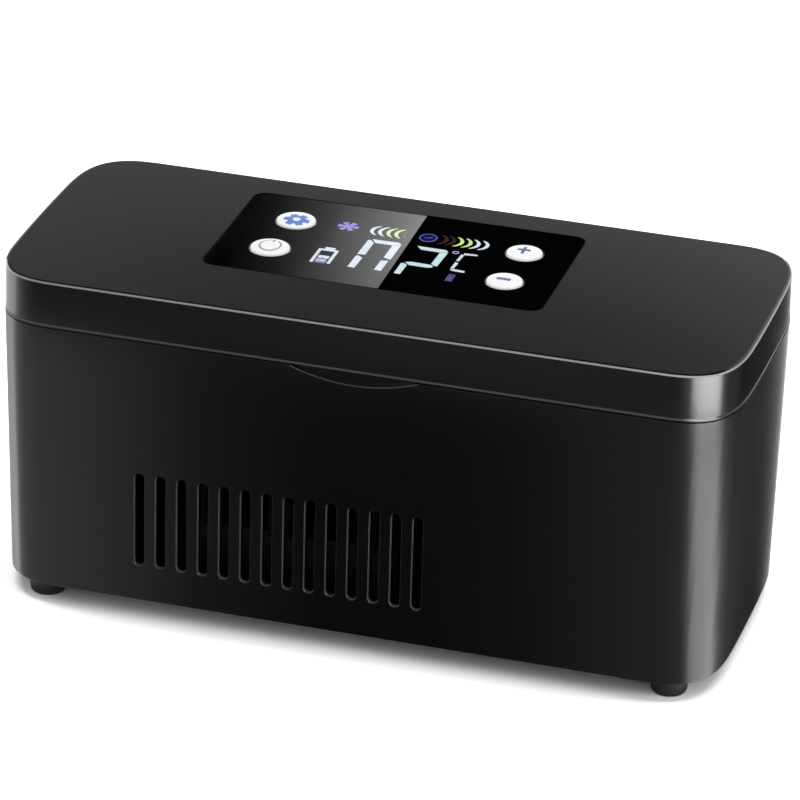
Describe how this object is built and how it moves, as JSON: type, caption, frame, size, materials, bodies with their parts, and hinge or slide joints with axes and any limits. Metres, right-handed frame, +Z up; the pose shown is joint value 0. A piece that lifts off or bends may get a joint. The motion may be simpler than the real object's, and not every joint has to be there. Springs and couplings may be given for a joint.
{
  "type": "insulin cooling case",
  "caption": "Portable cooling case for insulin pens: hinged lid with display panel and press buttons, cooled tray, vented body with heat sink and fan.",
  "frame": {"origin": "on the floor under the middle of the whole case, hinge barrels included", "axes": "+X along the case to the right, -Y to the front with the vent slots and thumb recess, +Z up"},
  "size_m": [0.2, 0.0898, 0.0944],
  "materials": {
    "shell": "satin",
    "panel": "gloss",
    "cap": "satin",
    "rubber": "matte",
    "liner": "satin",
    "foam": "matte foam",
    "tray": "brushed",
    "blackened": "black anodised",
    "steel": "plain",
    "magnet": "nickel plated",
    "module": "matte",
    "fan": "satin",
    "board": "satin",
    "battery": "satin film",
    "switch": "satin"
  },
  "bodies": {
    "base": {"outer_shell": "shell", "base_plate": "shell", "front_left_foot": "rubber", "front_right_foot": "rubber", "rear_left_foot": "rubber", "rear_right_foot": "rubber", "base_screw_front_left": "steel", "base_screw_front_right": "steel", "base_screw_rear_left": "steel", "base_screw_rear_right": "steel", "fan_screw_front_left": "steel", "fan_screw_front_right": "steel", "fan_screw_rear_left": "steel", "fan_screw_rear_right": "steel", "board_screw_1": "steel", "board_screw_2": "steel", "board_screw_3": "steel", "board_screw_4": "steel", "fan_frame": "fan", "heat_sink": "blackened", "peltier_module": "module", "cold_block": "tray", "block_screw_left": "steel", "block_screw_right": "steel", "hinge_pin_left": "steel", "hinge_pin_right": "steel", "cold_chamber": "tray", "chamber_insulation": "foam", "temperature_probe": "steel", "top_deck": "liner", "deck_magnet": "magnet", "main_board": "board", "battery_pack": "battery", "dc_jack": "fan"},
    "lid": {"lid_shell": "shell", "panel_window": "panel", "lid_liner": "liner", "lid_foam": "foam", "lid_gasket": "rubber", "lid_magnet": "magnet", "display_module": "panel", "control_board": "board", "lid_screw_front_left": "steel", "lid_screw_front_right": "steel", "lid_screw_rear_left": "steel", "lid_screw_rear_right": "steel", "settings_switch": "switch", "power_switch": "switch", "plus_switch": "switch", "minus_switch": "switch"},
    "fan_rotor": {"fan_rotor": "fan"},
    "settings_button": {"settings_button": "cap"},
    "power_button": {"power_button": "cap"},
    "plus_button": {"plus_button": "cap"},
    "minus_button": {"minus_button": "cap"}
  },
  "joints": [
    {"name": "lid_hinge", "type": "hinge", "parent": "base", "child": "lid", "pos_m": [0, 0.0421, 0.0806], "axis": [-1, 0, 0], "range_deg": [0, 100]},
    {"name": "fan_spin", "type": "hinge", "parent": "base", "child": "fan_rotor", "pos_m": [-0.0192, -0.0024, 0.0175], "axis": [0, 0, 1], "continuous": true},
    {"name": "settings_press", "type": "slide", "parent": "lid", "child": "settings_button", "axis": [0, 0, -1], "range_m": [0, 0.0006], "stiffness_N_per_m": 500},
    {"name": "power_press", "type": "slide", "parent": "lid", "child": "power_button", "axis": [0, 0, -1], "range_m": [0, 0.0006], "stiffness_N_per_m": 500},
    {"name": "plus_press", "type": "slide", "parent": "lid", "child": "plus_button", "axis": [0, 0, -1], "range_m": [0, 0.0006], "stiffness_N_per_m": 500},
    {"name": "minus_press", "type": "slide", "parent": "lid", "child": "minus_button", "axis": [0, 0, -1], "range_m": [0, 0.0006], "stiffness_N_per_m": 500}
  ]
}
